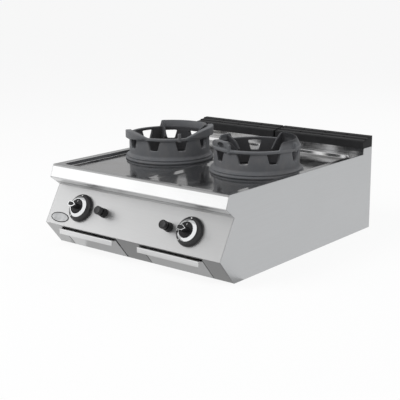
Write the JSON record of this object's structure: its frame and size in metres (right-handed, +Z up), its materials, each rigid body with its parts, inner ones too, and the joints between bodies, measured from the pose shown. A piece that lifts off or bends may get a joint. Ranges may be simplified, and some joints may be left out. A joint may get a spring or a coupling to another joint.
{
  "type": "counter-top gas wok range",
  "caption": "Counter-top gas wok range with windowed cast wok rings on a drawn well, sloping control panel, drip drawers and louvred flue covers.",
  "frame": {"origin": "on the surface the range stands on, under the middle of its width and depth", "axes": "+X to the cook's right, +Y to the back, +Z up"},
  "size_m": [0.8, 0.9742, 0.4003],
  "materials": {
    "brushed_steel": "satin, fine horizontal grain",
    "polished_steel": "bright, near mirror",
    "galvanised_steel": "dull grey, mottled",
    "cast_iron": "matt, sand-cast",
    "black_enamel": "matt black",
    "black_plastic": "satin black",
    "chrome": "bright",
    "brass": "machined",
    "copper": "drawn copper tube",
    "ceramic": "glazed ceramic"
  },
  "bodies": {
    "range": {"left_side_panel": "brushed_steel", "right_side_panel": "brushed_steel", "control_panel": "brushed_steel", "lower_front": "brushed_steel", "worktop": "polished_steel", "base_plate": "galvanised_steel", "rear_panel": "galvanised_steel", "flue_duct": "galvanised_steel", "front_cross_brace": "galvanised_steel", "rear_cross_brace": "galvanised_steel", "gas_manifold": "galvanised_steel", "gas_union": "brass", "left_burner_bowl": "polished_steel", "left_burner_body": "cast_iron", "left_burner_strap": "galvanised_steel", "left_pilot_burner": "brass", "left_spark_electrode": "ceramic", "left_flame_probe": "copper", "left_drawer_rail_a": "galvanised_steel", "left_drawer_rail_b": "galvanised_steel", "left_bezel": "black_plastic", "left_bezel_ring": "chrome", "left_gas_valve": "brass", "left_feed_pipe": "copper", "left_igniter_collar": "black_plastic", "left_igniter_body": "black_plastic", "right_burner_bowl": "polished_steel", "right_burner_body": "cast_iron", "right_burner_strap": "galvanised_steel", "right_pilot_burner": "brass", "right_spark_electrode": "ceramic", "right_flame_probe": "copper", "right_drawer_rail_a": "galvanised_steel", "right_drawer_rail_b": "galvanised_steel", "right_bezel": "black_plastic", "right_bezel_ring": "chrome", "right_gas_valve": "brass", "right_feed_pipe": "copper", "right_igniter_collar": "black_plastic", "right_igniter_body": "black_plastic"},
    "left_knob": {"left_knob": "black_plastic", "left_knob_cap": "chrome", "left_valve_spindle": "brass"},
    "left_knob_press": {"left_valve_plunger": "brass"},
    "left_igniter_button": {"left_igniter_button": "black_plastic"},
    "left_drawer": {"left_drawer_front": "brushed_steel", "left_drawer_tray": "galvanised_steel"},
    "left_wok_ring": {"left_wok_ring": "cast_iron"},
    "left_burner_cap": {"left_burner_cap": "brass"},
    "left_flue_cover": {"left_flue_cover": "black_enamel"},
    "right_knob": {"right_knob": "black_plastic", "right_knob_cap": "chrome", "right_valve_spindle": "brass"},
    "right_knob_press": {"right_valve_plunger": "brass"},
    "right_igniter_button": {"right_igniter_button": "black_plastic"},
    "right_drawer": {"right_drawer_front": "brushed_steel", "right_drawer_tray": "galvanised_steel"},
    "right_wok_ring": {"right_wok_ring": "cast_iron"},
    "right_burner_cap": {"right_burner_cap": "brass"},
    "right_flue_cover": {"right_flue_cover": "black_enamel"}
  },
  "joints": [
    {"name": "left_knob_press", "type": "slide", "parent": "range", "child": "left_knob_press", "axis": [0, 0.8687, -0.4954], "range_m": [0, 0.006], "stiffness_N_per_m": 900, "springref_m": -0.006},
    {"name": "left_knob_turn", "type": "hinge", "parent": "left_knob_press", "child": "left_knob", "pos_m": [-0.25, -0.42784, 0.15215], "axis": [0, -0.8687, 0.4954], "range_deg": [0, 150]},
    {"name": "left_igniter_press", "type": "slide", "parent": "range", "child": "left_igniter_button", "axis": [0, 0.8687, -0.4954], "range_m": [0, 0.006], "stiffness_N_per_m": 600, "springref_m": -0.005},
    {"name": "left_drawer_slide", "type": "slide", "parent": "range", "child": "left_drawer", "axis": [0, -1, 0], "range_m": [0, 0.38]},
    {"name": "left_wok_ring_lift", "type": "slide", "parent": "range", "child": "left_wok_ring", "axis": [0, 0, 1], "range_m": [0, 0.15]},
    {"name": "left_burner_cap_lift", "type": "slide", "parent": "range", "child": "left_burner_cap", "axis": [0, 0, 1], "range_m": [0, 0.2]},
    {"name": "left_flue_cover_lift", "type": "slide", "parent": "range", "child": "left_flue_cover", "axis": [0, 0, 1], "range_m": [0, 0.08]},
    {"name": "right_knob_press", "type": "slide", "parent": "range", "child": "right_knob_press", "axis": [0, 0.8687, -0.4954], "range_m": [0, 0.006], "stiffness_N_per_m": 900, "springref_m": -0.006},
    {"name": "right_knob_turn", "type": "hinge", "parent": "right_knob_press", "child": "right_knob", "pos_m": [0.25, -0.42784, 0.15215], "axis": [0, -0.8687, 0.4954], "range_deg": [0, 150]},
    {"name": "right_igniter_press", "type": "slide", "parent": "range", "child": "right_igniter_button", "axis": [0, 0.8687, -0.4954], "range_m": [0, 0.006], "stiffness_N_per_m": 600, "springref_m": -0.005},
    {"name": "right_drawer_slide", "type": "slide", "parent": "range", "child": "right_drawer", "axis": [0, -1, 0], "range_m": [0, 0.38]},
    {"name": "right_wok_ring_lift", "type": "slide", "parent": "range", "child": "right_wok_ring", "axis": [0, 0, 1], "range_m": [0, 0.15]},
    {"name": "right_burner_cap_lift", "type": "slide", "parent": "range", "child": "right_burner_cap", "axis": [0, 0, 1], "range_m": [0, 0.2]},
    {"name": "right_flue_cover_lift", "type": "slide", "parent": "range", "child": "right_flue_cover", "axis": [0, 0, 1], "range_m": [0, 0.08]}
  ]
}
